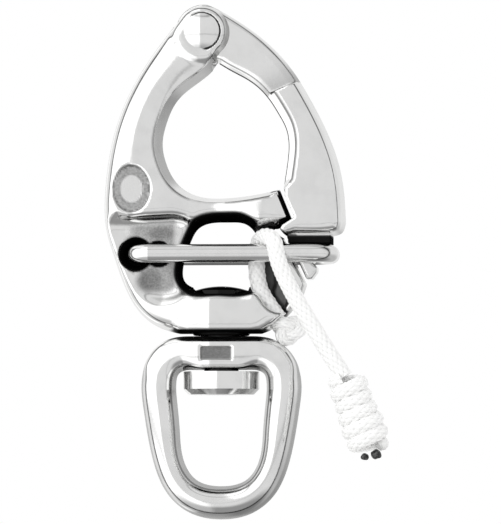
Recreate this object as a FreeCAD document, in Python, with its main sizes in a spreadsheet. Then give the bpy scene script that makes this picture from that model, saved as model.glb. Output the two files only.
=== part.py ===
import FreeCAD, Part
import Sketcher

# A snap shackle with a swivelling bail, standing upright: the jaw on top, the bail below.
# Millimetres. X runs from the closed back of the jaw to its gate, Y through the shackle's thickness and Z up
# its length. The origin is the bearing crown of the jaw, on the axis of the swivel.

import math
import os

from FreeCAD import Placement, Rotation, Vector

# Alias, value and meaning of every driving dimension.
SIZES = [
    ("BodyThick", 12.5, "forged body, over its two faces"),
    ("WebThick", 7.8, "body web where the trigger lies beside it"),
    ("EdgeBevel", 1.0, "bevel along the forged outlines"),
    ("HingeX", -2.95, "gate hinge"),
    ("HingeZ", 6.5, "gate hinge"),
    ("EarRadius", 5.1, "body ears round the gate hinge"),
    ("SlotThick", 6.3, "slot between the ears"),
    ("SlotRadius", 5.4, "bottom of that slot"),
    ("GateThick", 12.4, "forged gate, over its two faces"),
    ("GateEyeRadius", 4.9, "gate eye between the ears"),
    ("GateEyeThick", 6.1, "gate eye between the ears"),
    ("TongueThick", 5.2, "latch tongue under the gate"),
    ("RivetRadius", 1.9, "gate rivet shank"),
    ("RivetHead", 3.05, "radius of its domed heads"),
    ("RivetCrown", 1.05, "height of its domed heads"),
    ("HingePlay", 0.05, "radial play of the gate on its rivet"),
    ("NeckTurn", 66.5, "degrees below +X, from the gate hinge along the neck of the gate"),
    ("NeckFlat", 6.2, "where the neck begins to thicken, from the hinge"),
    ("NeckStep", 14.7, "where the neck steps up to the full gate, from the hinge"),
    ("NeckStepThick", 7.0, "neck at that step"),
    ("RodRadius", 1.6, "trigger rod"),
    ("LegY", 5.7, "trigger leg, from the middle plane"),
    ("TriggerZ", -32.3, "trigger legs and their bores"),
    ("FrontBoreX", -14.7, "bore of the front leg"),
    ("BackBoreX", -10.7, "bore of the back leg"),
    ("TriggerEndX", 19.05, "closed end of the trigger"),
    ("TriggerBend", 3.6, "bends at the closed end"),
    ("StubBend", 2.4, "bends at the bores"),
    ("StubInset", 0.5, "end of each stub, from the middle plane"),
    ("BoreRadius", 2.15, "trigger bores in the web"),
    ("SinkRadius", 3.05, "mouth of each countersink"),
    ("SinkDepth", 3.6, "countersink below the body face"),
    ("BodyBottomZ", -46.2, "swivel face of the body"),
    ("WindowFloorZ", -38.3, "floor of the body window"),
    ("PinRadius", 3.0, "swivel pin shank"),
    ("PinPlay", 0.06, "radial play of the swivel pin"),
    ("PinHeadRadius", 4.8, "domed head of the swivel pin"),
    ("PinSeatDepth", 1.3, "counterbore of that head"),
    ("PinCrownZ", -37.85, "top of that head"),
    ("PinRimZ", -38.65, "edge of that head"),
    ("CollarRadius", 6.65, "swivel collar"),
    ("CollarHigh", 4.0, "swivel collar"),
    ("CollarBevel", 0.95, "lower edge of the swivel collar"),
    ("CollarGap", 0.3, "collar below the top of the bail's opening"),
    ("BailTopZ", -46.6, "top of the bail"),
    ("BailEyeTopZ", -52.5, "top of the opening in the bail"),
    ("BailThick", 9.2, "bail, front to back"),
    ("BailRound", 2.3, "rounding of the bail's edges"),
    ("MarkX", -15.3, "plain round recess in the body face"),
    ("MarkZ", -21.0, "plain round recess in the body face"),
    ("MarkRadius", 3.3, "plain round recess in the body face"),
    ("MarkDepth", 0.4, "plain round recess in the body face"),
    ("CordRadius", 1.5, "braided lanyard"),
    ("CordBoreRadius", 1.8, "lanyard hole in the body"),
    ("ChannelDepth", 5.4, "lanyard channel below the body face"),
    ("KnotRadius", 2.3, "stopper knot"),
    ("HandleRadius", 3.6, "handle knot"),
    ("HandleLong", 13.2, "handle knot"),
    ("TipRadius", 1.6, "heat-sealed ends of the cord"),
    ("TipLong", 1.6, "heat-sealed ends of the cord"),
]

# The lanyard from its hole in the body, up behind the front leg of the trigger, over that leg and down to
# its handle.
LANYARD = [
    (10.35, -2.45, -43.65),
    (8.45, -2.45, -41.1),
    (7.6, -2.45, -36.2),
    (7.7, -2.45, -29.05),
    (9.1, -8.95, -29.05),
    (10.9, -8.95, -35.0),
    (16.8, -8.9, -45.7),
    (22.1, -8.6, -53.9),
]
STOPPER = Vector(11.8, -2.45, -45.6)
# Shares of the handle knot's radius and length along its side, from its top.
BARREL = [(0.93, 0.14), (1.0, 0.45), (0.97, 0.8), (0.6, 1.0)]
HANDLE_AXIS = Vector(0.351, 0.0, -0.936)
TIP_OFFSETS = [Vector(-1.7, -0.6, 0.4), Vector(1.7, 0.6, 0.0)]
RUN_SHARE = 0.45
FACE_SLACK = 1e-4

doc = FreeCAD.newDocument("SnapShackle")


def fill_sheet():
    """The spreadsheet of driving dimensions, and the same numbers by alias."""
    sheet = doc.addObject("Spreadsheet::Sheet", "Sizes")
    for row, (alias, value, meaning) in enumerate(SIZES, 1):
        sheet.set(f"A{row}", meaning)
        sheet.set(f"B{row}", str(value))
        sheet.setAlias(f"B{row}", alias)
    doc.recompute()
    return {alias: float(sheet.get(alias)) for alias, _, _ in SIZES}


size = fill_sheet()


def bind(item, **sizes):
    """Binds properties of an object to formulas in the sheet's aliases, such as Length="BodyThick / 2"."""
    for name, formula in sizes.items():
        words = [f"Sizes.{w}" if w in size else w for w in formula.split()]
        item.setExpression(name, " ".join(words))


def new_body(label):
    made = doc.addObject("PartDesign::Body", label)
    made.Label = label
    return made


def new_sketch(body, role, offset=None):
    """A sketch on one of the body's own origin planes. On XZ_Plane its axes are X and Z, and it faces -Y."""
    sketch = body.newObject("Sketcher::SketchObject", f"{body.Name}_sketch")
    plane = next(f for f in body.Origin.OriginFeatures if f.Role == role)
    sketch.AttachmentSupport = (plane, [""])
    sketch.MapMode = "FlatFace"
    if offset:
        sketch.AttachmentOffset = offset
    return sketch


def draw(sketch, start, *steps):
    """A closed outline: each step is a line to a point, an arc through a point to another, or a curve through
    several. A leaving curve starts in the direction that its first pair of numbers gives."""
    here = start
    for kind, *points in steps:
        ends = [Vector(*p, 0) for p in [here, *points]]
        if kind == "line":
            sketch.addGeometry(Part.LineSegment(*ends))
        elif kind == "arc":
            sketch.addGeometry(Part.Arc(*ends))
        elif kind == "curve":
            curve = Part.BSplineCurve()
            curve.interpolate(ends)
            sketch.addGeometry(curve)
        elif kind == "leaving curve":
            direction = ends.pop(1)
            tangents = [direction] + [Vector()] * (len(ends) - 1)
            flags = [True] + [False] * (len(ends) - 1)
            curve = Part.BSplineCurve()
            curve.interpolate(Points=ends, Tangents=tangents, TangentFlags=flags)
            sketch.addGeometry(curve)
        here = points[-1]
    return sketch


def draw_loop(sketch, points):
    """A smooth closed curve through the points."""
    curve = Part.BSplineCurve()
    curve.interpolate(Points=[Vector(*p, 0) for p in points], PeriodicFlag=True)
    sketch.addGeometry(curve)
    return sketch


def draw_circle(sketch, x, z, radius):
    """A circle whose centre and radius are formulas in the sheet's aliases."""
    number = sketch.addGeometry(Part.Circle(Vector(1, 1, 0), Vector(0, 0, 1), 1))
    for kind, formula in [("DistanceX", x), ("DistanceY", z)]:
        place = sketch.addConstraint(Sketcher.Constraint(kind, -1, 1, number, 3, 1.0))
        sketch.renameConstraint(place, kind)
        bind(sketch, **{f"Constraints.{kind}": formula})
    width = sketch.addConstraint(Sketcher.Constraint("Radius", number, 1.0))
    sketch.renameConstraint(width, "Radius")
    bind(sketch, **{"Constraints.Radius": radius})
    return sketch


def feature(body, kind, sketch=None, **sizes):
    """Adds a PartDesign feature to the body, with its sizes bound to the sheet."""
    made = body.newObject(f"PartDesign::{kind}", f"{body.Name}_{kind}")
    if sketch:
        made.Profile = sketch
    bind(made, **sizes)
    return made


def across(body, kind, sketch, thick):
    """A Pad or Pocket half to each side of the middle plane."""
    made = feature(body, kind, sketch, Length=thick)
    made.SideType = "Symmetric"
    doc.recompute()
    return made


def cut_through(body, sketch):
    return across(body, "Pocket", sketch, "BodyThick * 2")


def mirror_back(body, original):
    """Repeats a feature of the front face on the back face."""
    made = body.newObject("PartDesign::Mirrored", f"{body.Name}_mirrored")
    made.Originals = [original]
    plane = next(f for f in body.Origin.OriginFeatures if f.Role == "XZ_Plane")
    made.MirrorPlane = (plane, [""])
    body.Tip = made
    doc.recompute()


def face_edges(item, half_thick):
    """The names of the edges that lie in the front or back face."""
    names = []
    for number, edge in enumerate(item.Shape.Edges, 1):
        box = edge.BoundBox
        if box.YLength < FACE_SLACK and abs(abs(box.Center.y) - half_thick) < FACE_SLACK:
            names.append(f"Edge{number}")
    return names


def bevel(body, item, edges, formula):
    made = feature(body, "Chamfer", Size=formula)
    made.Base = (item, edges)
    doc.recompute()


def drill(body, kind, foot, direction, **sizes):
    """A SubtractiveCylinder or SubtractiveCone from foot along direction."""
    made = feature(body, kind, **sizes)
    made.Placement = Placement(foot, Rotation(Vector(0, 0, 1), direction))
    doc.recompute()


def from_hinge(radius, degrees):
    """The point of the XZ plane at that radius and angle round the gate hinge."""
    turn = math.radians(degrees)
    return (
        size["HingeX"] + radius * math.cos(turn),
        size["HingeZ"] + radius * math.sin(turn),
    )


def round_hinge(degrees):
    """The direction of travel of a point that turns round the gate hinge, at that angle."""
    turn = math.radians(degrees)
    return (-math.sin(turn), math.cos(turn))


# Outlines in the middle plane, as (X, Z).
NOSE_TIP = (11.75, -26.25)
BACK_OF_BODY = [
    (-9.0, 7.0),
    (-12.5, 2.3),
    (-16.0, -3.5),
    (-18.3, -9.0),
    (-19.9, -15.8),
    (-20.55, -22.0),
    (-20.3, -27.8),
    (-18.9, -32.6),
    (-16.3, -39.4),
    (-13.9, -42.9),
    (-10.6, -45.2),
    (-7.2, -46.2),
]
JAW_OF_BODY = [
    (5.0, -22.0),
    (1.8, -22.35),
    (-2.9, -22.3),
    (-5.8, -21.35),
    (-8.1, -19.4),
    (-9.6, -16.6),
    (-10.35, -12.8),
    (-9.6, -9.1),
    (-7.7, -5.25),
    (-4.4, -2.4),
    (-1.2, 0.3),
]
WINDOW = [
    (-1.2, -26.75),
    (-3.9, -27.7),
    (-5.4, -30.2),
    (-6.6, -34.0),
    (-6.4, -37.0),
    (-4.2, -38.25),
    (0.0, -38.3),
    (4.4, -38.2),
    (6.6, -36.6),
    (6.7, -33.0),
    (6.3, -29.3),
    (4.2, -27.0),
    (1.4, -26.7),
]
TRIGGER_POCKET = [
    (-17.0, -26.6),
    ("arc", (-18.8, -28.4), (-17.4, -30.2)),
    ("line", (-14.4, -36.0)),
    ("line", (-13.4, -38.4)),
    ("line", (-12.4, -39.4)),
    ("line", (-8.9, -39.5)),
    ("line", (-4.0, -36.0)),
    ("line", (6.8, -38.6)),
    ("line", (10.2, -41.6)),
    ("line", (12.4, -42.9)),
    ("line", (17.0, -42.9)),
    ("line", (17.0, -27.5)),
    ("line", (6.0, -27.5)),
    ("line", (0.0, -28.5)),
    ("line", (-6.0, -26.5)),
    ("line", (-17.0, -26.6)),
]
CORD_CHANNEL = [
    (5.9, -27.5),
    ("line", (5.9, -38.5)),
    ("line", (6.6, -41.6)),
    ("line", (8.3, -43.3)),
    ("line", (10.5, -41.6)),
    ("line", (9.6, -37.5)),
    ("line", (9.6, -27.5)),
    ("line", (5.9, -27.5)),
]
GATE_INSIDE = [
    (1.5, 0.0),
    (5.5, -2.3),
    (8.15, -4.9),
    (10.1, -7.9),
    (11.35, -10.4),
    (11.8, -13.3),
    (11.5, -16.8),
    (10.75, -20.8),
]
GATE_OUTSIDE = [
    (21.6, -22.4),
    (20.8, -17.3),
    (19.55, -13.3),
    (17.55, -8.75),
    (15.5, -4.9),
    (12.74, -0.4),
    (9.36, 3.6),
    (4.1, 7.9),
]
LATCH_TONGUE = [
    (11.3, -28.4),
    ("line", (11.6, -29.5)),
    ("line", (15.1, -36.75)),
    ("line", (16.0, -36.65)),
    ("curve", (16.85, -35.5), (16.95, -34.7)),
    ("line", (16.2, -33.9)),
    ("line", (17.0, -33.2)),
    ("line", (17.1, -28.4)),
    ("line", (11.3, -28.4)),
]
BAIL_OUTSIDE = [
    (0.0, size["BailTopZ"]),
    (4.5, size["BailTopZ"]),
    (8.3, -46.9),
    (10.9, -48.2),
    (13.0, -50.9),
    (14.0, -54.4),
    (13.7, -59.2),
    (12.9, -64.2),
    (11.8, -69.0),
    (9.4, -74.2),
    (5.2, -77.6),
    (0.0, -78.6),
]
BAIL_INSIDE = [
    (0.0, size["BailEyeTopZ"]),
    (2.4, size["BailEyeTopZ"]),
    (4.6, size["BailEyeTopZ"]),
    (6.4, -52.6),
    (7.5, -53.2),
    (7.9, -54.5),
    (7.75, -58.2),
    (7.3, -63.2),
    (6.7, -68.0),
    (4.5, -71.6),
    (0.0, -72.8),
]


def both_sides(right_half):
    """A closed outline from its right half, whose first and last points lie on the swivel axis."""
    return right_half + [(-x, z) for x, z in reversed(right_half[1:-1])]


def make_body():
    """The forged body: back arm, two ears, crossbar with its nose, window, trigger web and swivel block."""
    body = new_body("body")
    outline = draw(
        new_sketch(body, "XZ_Plane"),
        from_hinge(size["EarRadius"], -49),
        ("arc", from_hinge(size["EarRadius"], 60), from_hinge(size["EarRadius"], 140)),
        ("leaving curve", round_hinge(140), *BACK_OF_BODY),
        ("line", (7.1, -46.2)),
        ("line", (8.1, -45.6)),
        ("line", (12.5, -42.2)),
        ("curve", (14.2, -39.9), (15.05, -37.6)),
        ("line", (14.7, -36.9)),
        ("line", (11.05, -29.5)),
        ("line", (8.9, -27.9)),
        ("line", NOSE_TIP),
        ("line", (10.15, -20.95)),
        ("curve", *JAW_OF_BODY),
        ("line", from_hinge(size["EarRadius"], -49)),
    )
    blank = across(body, "Pad", outline, "BodyThick")
    bevel(body, blank, face_edges(blank, size["BodyThick"] / 2), "EdgeBevel")
    hollow = cut_through(body, draw_loop(new_sketch(body, "XZ_Plane"), WINDOW))
    rims = [n for n in face_edges(hollow, size["BodyThick"] / 2) if hollow.Shape.getElement(n).isClosed()]
    bevel(body, hollow, rims, "EdgeBevel")

    ear_slot = draw(
        new_sketch(body, "XZ_Plane"),
        from_hinge(size["SlotRadius"], 75),
        ("arc", from_hinge(size["SlotRadius"], 180), from_hinge(size["SlotRadius"], 258)),
        ("line", (-1.0, -1.2)),
        ("line", (7.0, -1.2)),
        ("line", (7.0, 13.0)),
        ("line", from_hinge(size["SlotRadius"], 75)),
    )
    across(body, "Pocket", ear_slot, "SlotThick")

    front = Placement(Vector(0, 0, size["BodyThick"] / 2), Rotation())
    recess = draw(new_sketch(body, "XZ_Plane", front), *TRIGGER_POCKET)
    pocket = feature(body, "Pocket", recess, Length="( BodyThick - WebThick ) / 2")
    doc.recompute()
    mirror_back(body, pocket)

    channel = draw(new_sketch(body, "XZ_Plane", front), *CORD_CHANNEL)
    feature(body, "Pocket", channel, Length="ChannelDepth")
    doc.recompute()
    to_channel = Vector(*LANYARD[1]) - STOPPER
    bore = {"Radius": "CordBoreRadius", "Height": "KnotRadius * 2.4"}
    drill(body, "SubtractiveCylinder", STOPPER, to_channel, **bore)

    for x, side in [("FrontBoreX", -1), ("BackBoreX", 1)]:
        cut_through(body, draw_circle(new_sketch(body, "XZ_Plane"), x, "TriggerZ", "BoreRadius"))
        mouth = Vector(size[x], side * size["BodyThick"] / 2, size["TriggerZ"])
        sink = {"Radius1": "SinkRadius", "Radius2": "BoreRadius", "Height": "SinkDepth"}
        drill(body, "SubtractiveCone", mouth, Vector(0, -side, 0), **sink)
    cut_through(body, draw_circle(new_sketch(body, "XZ_Plane"), "HingeX", "HingeZ", "RivetRadius"))

    down = Vector(0, 0, -1)
    top = Vector(0, 0, size["WindowFloorZ"] + size["PinSeatDepth"])
    seat = {"Radius": "PinHeadRadius + PinPlay", "Height": "PinSeatDepth * 2"}
    drill(body, "SubtractiveCylinder", top, down, **seat)
    shank = {"Radius": "PinRadius + PinPlay", "Height": "BodyThick"}
    drill(body, "SubtractiveCylinder", top, down, **shank)

    mark = draw_circle(new_sketch(body, "XZ_Plane", front), "MarkX", "MarkZ", "MarkRadius")
    feature(body, "Pocket", mark, Length="MarkDepth")
    return body


def make_gate():
    """The forged gate: an eye between the ears, a thin neck, a notch for the nose, and the latch tongue."""
    body = new_body("gate")
    outline = draw(
        new_sketch(body, "XZ_Plane"),
        from_hinge(size["GateEyeRadius"], -72),
        ("curve", *GATE_INSIDE),
        ("line", (12.6, -26.05)),
        ("line", (10.7, -27.25)),
        ("arc", (10.25, -28.2), (11.1, -29.1)),
        ("line", (19.4, -29.2)),
        ("arc", (21.2, -28.6), (21.85, -26.9)),
        ("curve", *GATE_OUTSIDE, from_hinge(size["GateEyeRadius"], 60)),
        ("arc", from_hinge(size["GateEyeRadius"], 180), from_hinge(size["GateEyeRadius"], -72)),
    )
    arm = across(body, "Pad", outline, "GateThick")
    bevel(body, arm, face_edges(arm, size["GateThick"] / 2), "EdgeBevel")

    # The neck thickens from the eye to a small step. Its profile lies across the arm.
    along_neck = Rotation(Vector(0, 1, 0), size["NeckTurn"])
    hinge = Placement(Vector(size["HingeX"], 0, size["HingeZ"]), along_neck)
    behind, flat, step = -2 * size["EarRadius"], size["NeckFlat"], size["NeckStep"]
    for side in (-1, 1):
        eye, shoulder = side * size["GateEyeThick"] / 2, side * size["NeckStepThick"] / 2
        clear = side * size["GateThick"]
        neck = draw(
            new_sketch(body, "XY_Plane", hinge),
            (behind, eye),
            ("line", (flat, eye)),
            ("line", (step, shoulder)),
            ("line", (step, clear)),
            ("line", (behind, clear)),
            ("line", (behind, eye)),
        )
        across(body, "Pocket", neck, "BodyThick * 4")

    tongue = draw(new_sketch(body, "XZ_Plane"), *LATCH_TONGUE)
    across(body, "Pad", tongue, "TongueThick")
    hole = draw_circle(new_sketch(body, "XZ_Plane"), "HingeX", "HingeZ", "RivetRadius + HingePlay")
    cut_through(body, hole)
    return body


def crown_middle(rim_radius, rim, top):
    """The middle point of the arc of a round crown, from its top on the axis to its rim."""
    rise = top - rim
    ball = (rim_radius**2 + rise**2) / (2 * rise)
    half = math.asin(rim_radius / abs(ball)) / 2
    return abs(ball) * math.sin(half), top - ball * (1 - math.cos(half))


def make_rivet():
    """The gate rivet: a shank with a domed head on each ear."""
    body = new_body("gate_rivet")
    hinge = Placement(Vector(size["HingeX"], 0, size["HingeZ"]), Rotation())
    face, crown = size["BodyThick"] / 2, size["RivetCrown"]
    head, shank = size["RivetHead"], size["RivetRadius"]
    rim, top = face + crown * 0.25, face + crown
    profile = draw(
        new_sketch(body, "XY_Plane", hinge),
        (0, -top),
        ("arc", crown_middle(head, -rim, -top), (head, -rim)),
        ("line", (head, -face)),
        ("line", (shank, -face)),
        ("line", (shank, face)),
        ("line", (head, face)),
        ("line", (head, rim)),
        ("arc", crown_middle(head, rim, top), (0, top)),
        ("line", (0, -top)),
    )
    spin(body, profile)
    return body


def spin(body, profile):
    """A full turn of a profile round its sketch's vertical axis."""
    made = feature(body, "Revolution", profile)
    made.ReferenceAxis = (profile, ["V_Axis"])
    made.Angle = 360


def make_trigger():
    """The trigger: one rod bent into two legs round the web, its ends turned into the two bores."""
    body = new_body("trigger")
    leg, bend, stub = size["LegY"], size["TriggerBend"], size["StubBend"]
    inset, end = size["StubInset"], size["TriggerEndX"]
    front, back = size["FrontBoreX"], size["BackBoreX"]
    diagonal = math.sqrt(0.5)
    level = Placement(Vector(0, 0, size["TriggerZ"]), Rotation())
    path = new_sketch(body, "XY_Plane", level)

    def corner(x, y, radius, sx, sy):
        """Middle and ends of the quarter turn that rounds the corner (x, y). Its legs go to sx and sy."""
        inner = radius * (1 - diagonal)
        return (x + sx * inner, y + sy * inner), (x + sx * radius, y), (x, y + sy * radius)

    a_mid, a_leg, a_stub = corner(front, -leg, stub, 1, 1)
    b_mid, b_leg, b_end = corner(end, -leg, bend, -1, 1)
    c_mid, c_leg, c_end = corner(end, leg, bend, -1, -1)
    d_mid, d_leg, d_stub = corner(back, leg, stub, 1, -1)
    draw(
        path,
        (front, -inset),
        ("line", a_stub),
        ("arc", a_mid, a_leg),
        ("line", b_leg),
        ("arc", b_mid, b_end),
        ("line", c_end),
        ("arc", c_mid, c_leg),
        ("line", d_leg),
        ("arc", d_mid, d_stub),
        ("line", (back, inset)),
    )
    section = new_sketch(body, "XZ_Plane", Placement(Vector(0, 0, inset), Rotation()))
    draw_circle(section, "FrontBoreX", "TriggerZ", "RodRadius")
    doc.recompute()
    rod = feature(body, "AdditivePipe", section)
    rod.Spine = (path, [f"Edge{n + 1}" for n in range(len(path.Shape.Edges))])
    return body


def make_pin():
    """The swivel pin: a domed head in the window floor and a shank down to the collar."""
    body = new_body("swivel_pin")
    head, shank = size["PinHeadRadius"], size["PinRadius"]
    seat = size["WindowFloorZ"] - size["PinSeatDepth"]
    crown, rim = size["PinCrownZ"], size["PinRimZ"]
    profile = draw(
        new_sketch(body, "XZ_Plane"),
        (0, crown),
        ("arc", crown_middle(head, rim, crown), (head, rim)),
        ("line", (head, seat)),
        ("line", (shank, seat)),
        ("line", (shank, collar_top() - size["CollarHigh"])),
        ("line", (0, collar_top() - size["CollarHigh"])),
        ("line", (0, crown)),
    )
    spin(body, profile)
    return body


def collar_top():
    return size["BailEyeTopZ"] - size["CollarGap"]


def make_collar():
    """The swivel collar, fixed on the pin's lower end inside the bail."""
    body = new_body("swivel_collar")
    outer, bevel, high = size["CollarRadius"], size["CollarBevel"], size["CollarHigh"]
    profile = draw(
        new_sketch(body, "XZ_Plane"),
        (size["PinRadius"], collar_top()),
        ("line", (outer, collar_top())),
        ("line", (outer, collar_top() - high + bevel)),
        ("line", (outer - bevel, collar_top() - high)),
        ("line", (size["PinRadius"], collar_top() - high)),
        ("line", (size["PinRadius"], collar_top())),
    )
    spin(body, profile)
    return body


def make_bail():
    """The large bail: a rounded D ring whose flat top turns on the swivel pin."""
    body = new_body("bail")
    ring = across(body, "Pad", draw_loop(new_sketch(body, "XZ_Plane"), both_sides(BAIL_OUTSIDE)), "BailThick")
    ring = cut_through(body, draw_loop(new_sketch(body, "XZ_Plane"), both_sides(BAIL_INSIDE)))
    rounded = feature(body, "Fillet", Radius="BailRound")
    rounded.Base = (ring, face_edges(ring, size["BailThick"] / 2))
    doc.recompute()
    hole = {"Radius": "PinRadius + PinPlay", "Height": "BodyThick"}
    drill(body, "SubtractiveCylinder", Vector(0, 0, size["BodyBottomZ"]), Vector(0, 0, -1), **hole)
    return body


def rounded_route(points):
    """Straight runs joined by tangent arcs, as large as the runs allow. Also gives the arcs' radii."""
    at = [Vector(*p) for p in points]
    edges, radii, here = [], [], at[0]
    for before, point, after in zip(at, at[1:], at[2:]):
        into, out = (point - before), (after - point)
        half = into.getAngle(out) / 2
        shorter = min(into.Length, out.Length)
        radius = RUN_SHARE * shorter / math.tan(half)
        back, ahead = into.normalize(), out.normalize()
        first = point - back * (RUN_SHARE * shorter)
        last = point + ahead * (RUN_SHARE * shorter)
        inward = (ahead - back).normalize()
        middle = point + inward * (radius / math.cos(half) - radius)
        edges.append(Part.LineSegment(here, first).toShape())
        edges.append(Part.Arc(first, middle, last).toShape())
        radii.append(radius)
        here = last
    edges.append(Part.LineSegment(here, at[-1]).toShape())
    return Part.Wire(edges), radii


def make_lanyard():
    """The braided lanyard as a plain round tube."""
    route, radii = rounded_route(LANYARD)
    start = Vector(*LANYARD[0])
    along = Vector(*LANYARD[1]) - start
    section = Part.Wire(Part.makeCircle(size["CordRadius"], start, along))
    tube = route.makePipeShell([section], True, False)
    made = doc.addObject("Part::Feature", "lanyard")
    made.Label = "lanyard"
    made.Shape = tube
    expected = math.pi * size["CordRadius"] ** 2 * route.Length
    print("lanyard arcs, mm:", [round(r, 1) for r in radii])
    print(f"lanyard {route.Length:.1f} mm long, {tube.Volume / expected:.4f} of its section times its length")
    return made


def make_stopper_knot():
    """The overhand stopper knot outside the lanyard hole, as one rounded lump."""
    knot = doc.addObject("Part::Ellipsoid", "stopper_knot")
    knot.Label = "stopper_knot"
    bind(knot, Radius1="KnotRadius * 0.96", Radius2="KnotRadius", Radius3="KnotRadius * 1.15")
    toward = (Vector(*LANYARD[1]) - STOPPER).normalize()
    knot.Placement = Placement(STOPPER, Rotation(Vector(0, 0, 1), toward))
    return knot


def make_handle_knot():
    """The barrel knot that is pulled by hand, as one rounded barrel."""
    body = new_body("handle_knot")
    radius, high = size["HandleRadius"], size["HandleLong"]
    profile = draw(
        new_sketch(body, "XZ_Plane"),
        (0, 0),
        ("line", (radius * 0.5, 0)),
        ("curve", *[(radius * wide, high * up) for wide, up in BARREL]),
        ("line", (0, high)),
        ("line", (0, 0)),
    )
    spin(body, profile)
    body.Placement = Placement(Vector(*LANYARD[-1]), Rotation(Vector(0, 0, 1), HANDLE_AXIS))
    return body


def make_sealed_ends():
    """The two dark heat-sealed ends of the cord, below the handle knot."""
    foot = Vector(*LANYARD[-1]) + HANDLE_AXIS * size["HandleLong"]
    ends = []
    for offset in TIP_OFFSETS:
        tip = doc.addObject("Part::Cylinder", "sealed_end")
        bind(tip, Radius="TipRadius", Height="TipLong")
        tip.Placement = Placement(foot + offset, Rotation(Vector(0, 0, 1), HANDLE_AXIS))
        ends.append(tip)
    group = doc.addObject("Part::Compound", "sealed_ends")
    group.Label = "sealed_ends"
    group.Links = ends
    return group


made = [
    make_body(),
    make_gate(),
    make_rivet(),
    make_trigger(),
    make_pin(),
    make_collar(),
    make_bail(),
    make_lanyard(),
    make_stopper_knot(),
    make_handle_knot(),
    make_sealed_ends(),
]
doc.recompute()

for item in doc.Objects:
    if {"Invalid", "Error"} & set(item.State):
        raise RuntimeError(f"{item.Label} did not build: {item.State}")
for item in made:
    if item.Shape.isNull() or not item.Shape.isValid():
        raise RuntimeError(f"{item.Label} has no valid shape")

os.makedirs("parts", exist_ok=True)
for item in made:
    item.Shape.exportStep(f"parts/{item.Label}.step")
    box = item.Shape.BoundBox
    print(
        f"{item.Label}: {len(item.Shape.Solids)} solid(s), {item.Shape.Volume:.0f} mm3, "
        f"X {box.XMin:.1f} to {box.XMax:.1f}, Y {box.YMin:.1f} to {box.YMax:.1f}, "
        f"Z {box.ZMin:.1f} to {box.ZMax:.1f}"
    )
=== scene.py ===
import math

import bmesh
import bpy
import numpy as np
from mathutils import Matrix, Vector


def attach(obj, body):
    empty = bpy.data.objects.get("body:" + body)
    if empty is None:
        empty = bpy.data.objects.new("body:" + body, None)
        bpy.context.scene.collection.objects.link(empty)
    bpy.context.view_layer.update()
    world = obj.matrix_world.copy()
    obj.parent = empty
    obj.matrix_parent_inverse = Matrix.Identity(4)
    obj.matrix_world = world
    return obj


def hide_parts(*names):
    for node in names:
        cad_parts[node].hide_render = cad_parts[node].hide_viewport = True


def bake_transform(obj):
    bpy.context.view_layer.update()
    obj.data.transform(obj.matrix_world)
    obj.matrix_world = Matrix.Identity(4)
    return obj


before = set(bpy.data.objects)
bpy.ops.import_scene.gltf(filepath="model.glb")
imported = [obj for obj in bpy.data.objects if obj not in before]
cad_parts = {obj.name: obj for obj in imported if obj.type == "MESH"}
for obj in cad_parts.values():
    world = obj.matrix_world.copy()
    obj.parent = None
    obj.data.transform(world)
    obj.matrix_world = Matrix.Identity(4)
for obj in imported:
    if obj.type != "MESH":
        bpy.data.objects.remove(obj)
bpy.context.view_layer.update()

# A snap shackle: forged body, gate and bail as solid fields in millimetres, a braided lanyard with its
# knots, and the turned and bent steel pieces as the frame has them. Outlines are (X, Z) in the shackle's
# middle plane.
MM = 0.001
SMALL = 1e-9


# ---------------------------------------------------------------- outlines and solid fields


def spline(points, closed, step):
    """Points about a step apart on the cubic spline through the points, without the last one."""
    at = np.array(points, float)
    if closed:
        at = np.vstack([at, at[:1]])
    span = np.linalg.norm(np.diff(at, axis=0), axis=1)
    last = len(at) - 1
    rows, bend = np.zeros((last + 1, last + 1)), np.zeros((last + 1, at.shape[1]))
    slope = np.diff(at, axis=0) / span[:, None]
    for i in range(1, last):
        rows[i, i - 1 : i + 2] = span[i - 1], 2 * (span[i - 1] + span[i]), span[i]
        bend[i] = 6 * (slope[i] - slope[i - 1])
    if closed:
        rows[0, 0], rows[0, 1], rows[0, last - 1] = 2 * (span[-1] + span[0]), span[0], span[-1]
        bend[0] = 6 * (slope[0] - slope[-1])
        rows[last, 0], rows[last, last] = 1, -1
    else:
        rows[0, 0] = rows[last, last] = 1
    second = np.linalg.solve(rows, bend)
    out = []
    for i in range(last):
        parts = max(1, round(span[i] / step))
        t = np.arange(parts)[:, None] / parts
        a, b, h = 1 - t, t, span[i]
        curve = a * at[i] + b * at[i + 1]
        out.append(curve + ((a**3 - a) * second[i] + (b**3 - b) * second[i + 1]) * h * h / 6)
    return np.vstack(out)


def arc(centre, radius, first, last):
    """Points of an arc, by its angles in degrees from +X towards +Z."""
    turns = np.radians(np.linspace(first, last, max(3, int(abs(last - first) / 8))))
    return [(centre[0] + radius * math.cos(a), centre[1] + radius * math.sin(a)) for a in turns]


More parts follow.
